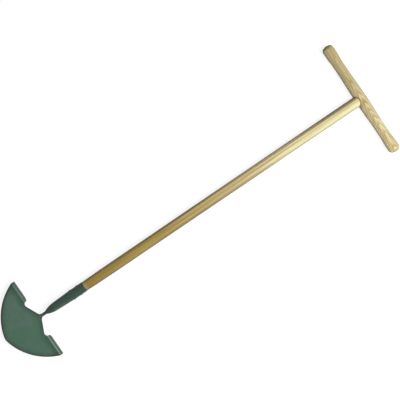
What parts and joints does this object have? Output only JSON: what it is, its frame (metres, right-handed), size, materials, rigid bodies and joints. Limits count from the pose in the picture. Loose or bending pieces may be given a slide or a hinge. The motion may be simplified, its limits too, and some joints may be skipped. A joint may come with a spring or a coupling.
{
  "type": "half-moon edging iron",
  "caption": "Long-handled lawn edger: half-moon steel blade with turned treads, forged socket, round wooden shaft and wooden T handle.",
  "frame": {"origin": "on the ground under the middle of the tool as it lies on its back, midway along its length and on the shaft's centre line", "axes": "+X runs up the shaft from the blade's point to the T handle, +Y runs across the blade, +Z points out of the blade's front face, away from the treads"},
  "size_m": [1, 0.29, 0.0274],
  "materials": {
    "painted_steel": "grey-green enamel, satin, over forged steel",
    "rivet_steel": "dark painted steel, satin",
    "shaft_wood": "straight-grained ash, clear lacquer, glossy",
    "handle_wood": "pale ash with a wide grain figure, clear lacquer, satin",
    "wedge_wood": "brown hardwood, clear lacquer"
  },
  "bodies": {
    "root": {"blade": "painted_steel", "socket": "painted_steel", "neck_weld": "painted_steel", "rivets": "rivet_steel", "shaft": "shaft_wood", "tee_handle": "handle_wood", "tenon_wedge": "wedge_wood"}
  },
  "joints": []
}
